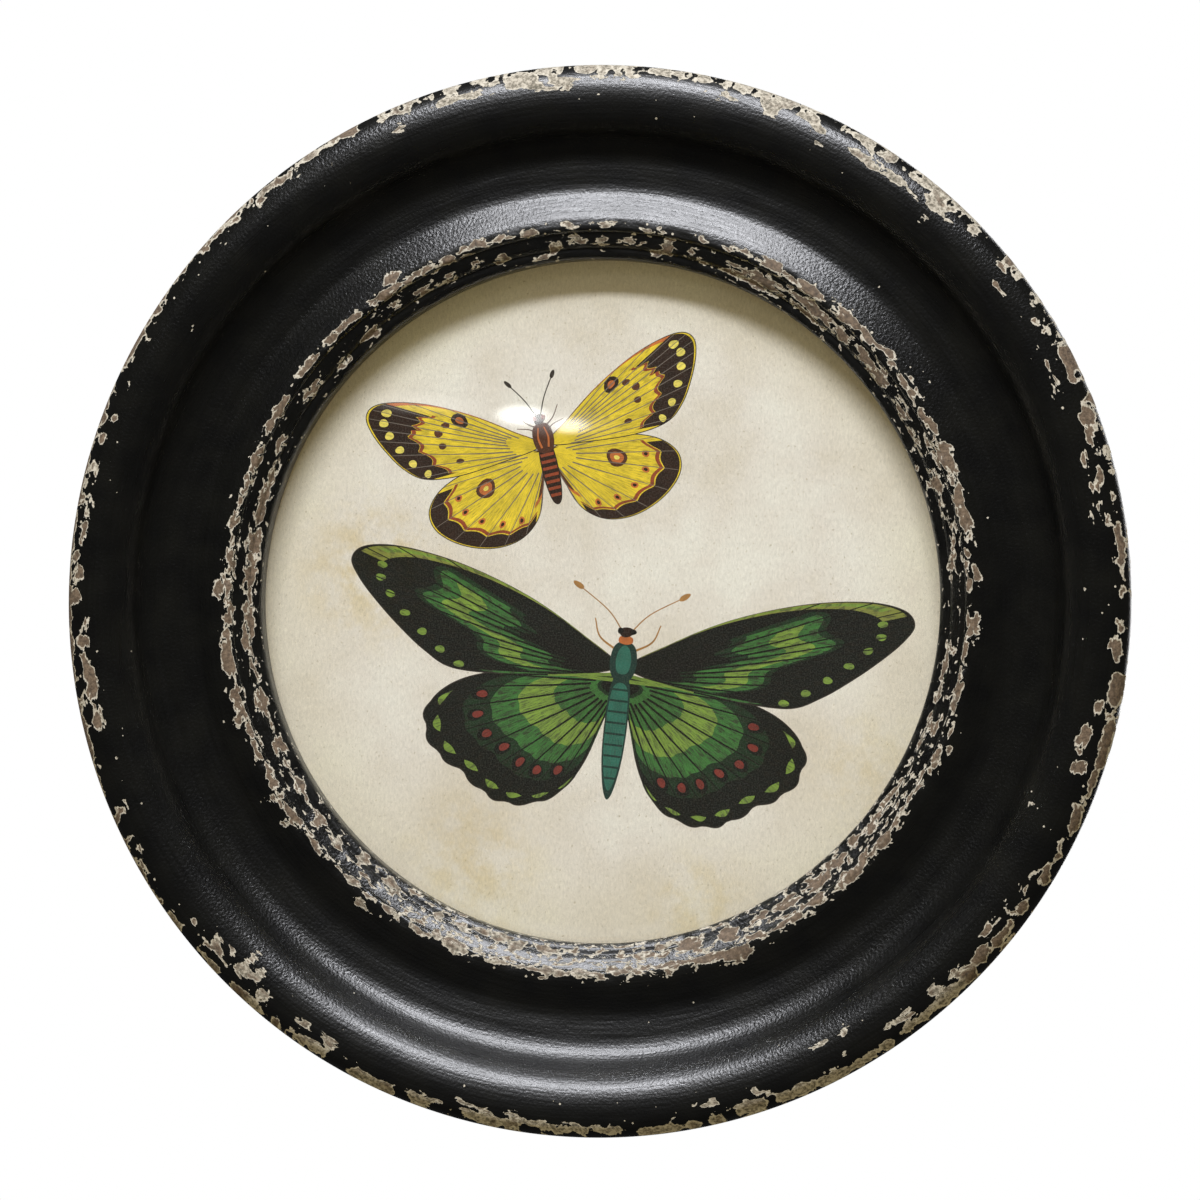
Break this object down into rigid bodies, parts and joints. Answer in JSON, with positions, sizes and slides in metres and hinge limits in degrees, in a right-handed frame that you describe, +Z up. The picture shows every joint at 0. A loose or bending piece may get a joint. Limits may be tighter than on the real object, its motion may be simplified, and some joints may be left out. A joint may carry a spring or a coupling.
{
  "type": "framed butterfly print",
  "caption": "Round wall picture: deep turned frame in rubbed black paint, domed glass, aged printed card of butterflies, hardboard back held by tabs, sawtooth hanger.",
  "frame": {"origin": "on the wall, where the wall nail meets the middle notch of the hanger", "axes": "+Z up, -Y towards the viewer, +Y into the wall, +X to the viewer's right"},
  "size_m": [0.25, 0.036, 0.25],
  "materials": {
    "black_paint": "satin black paint over a cream ground, rubbed through to brown at the edges",
    "clear_glass": "clear, polished",
    "aged_card": "matte printed card, aged",
    "hardboard": "matte, mesh-marked back of hardboard",
    "zinc_plate": "zinc-plated steel",
    "brassed_steel": "brass-plated steel"
  },
  "bodies": {
    "root": {"frame": "black_paint", "dome_glass": "clear_glass", "print_card": "aged_card", "backing_board": "hardboard", "retaining_tab_1": "zinc_plate", "retaining_tab_2": "zinc_plate", "retaining_tab_3": "zinc_plate", "retaining_tab_4": "zinc_plate", "hanger": "brassed_steel", "hanger_nail_left": "brassed_steel", "hanger_nail_right": "brassed_steel"}
  },
  "joints": []
}
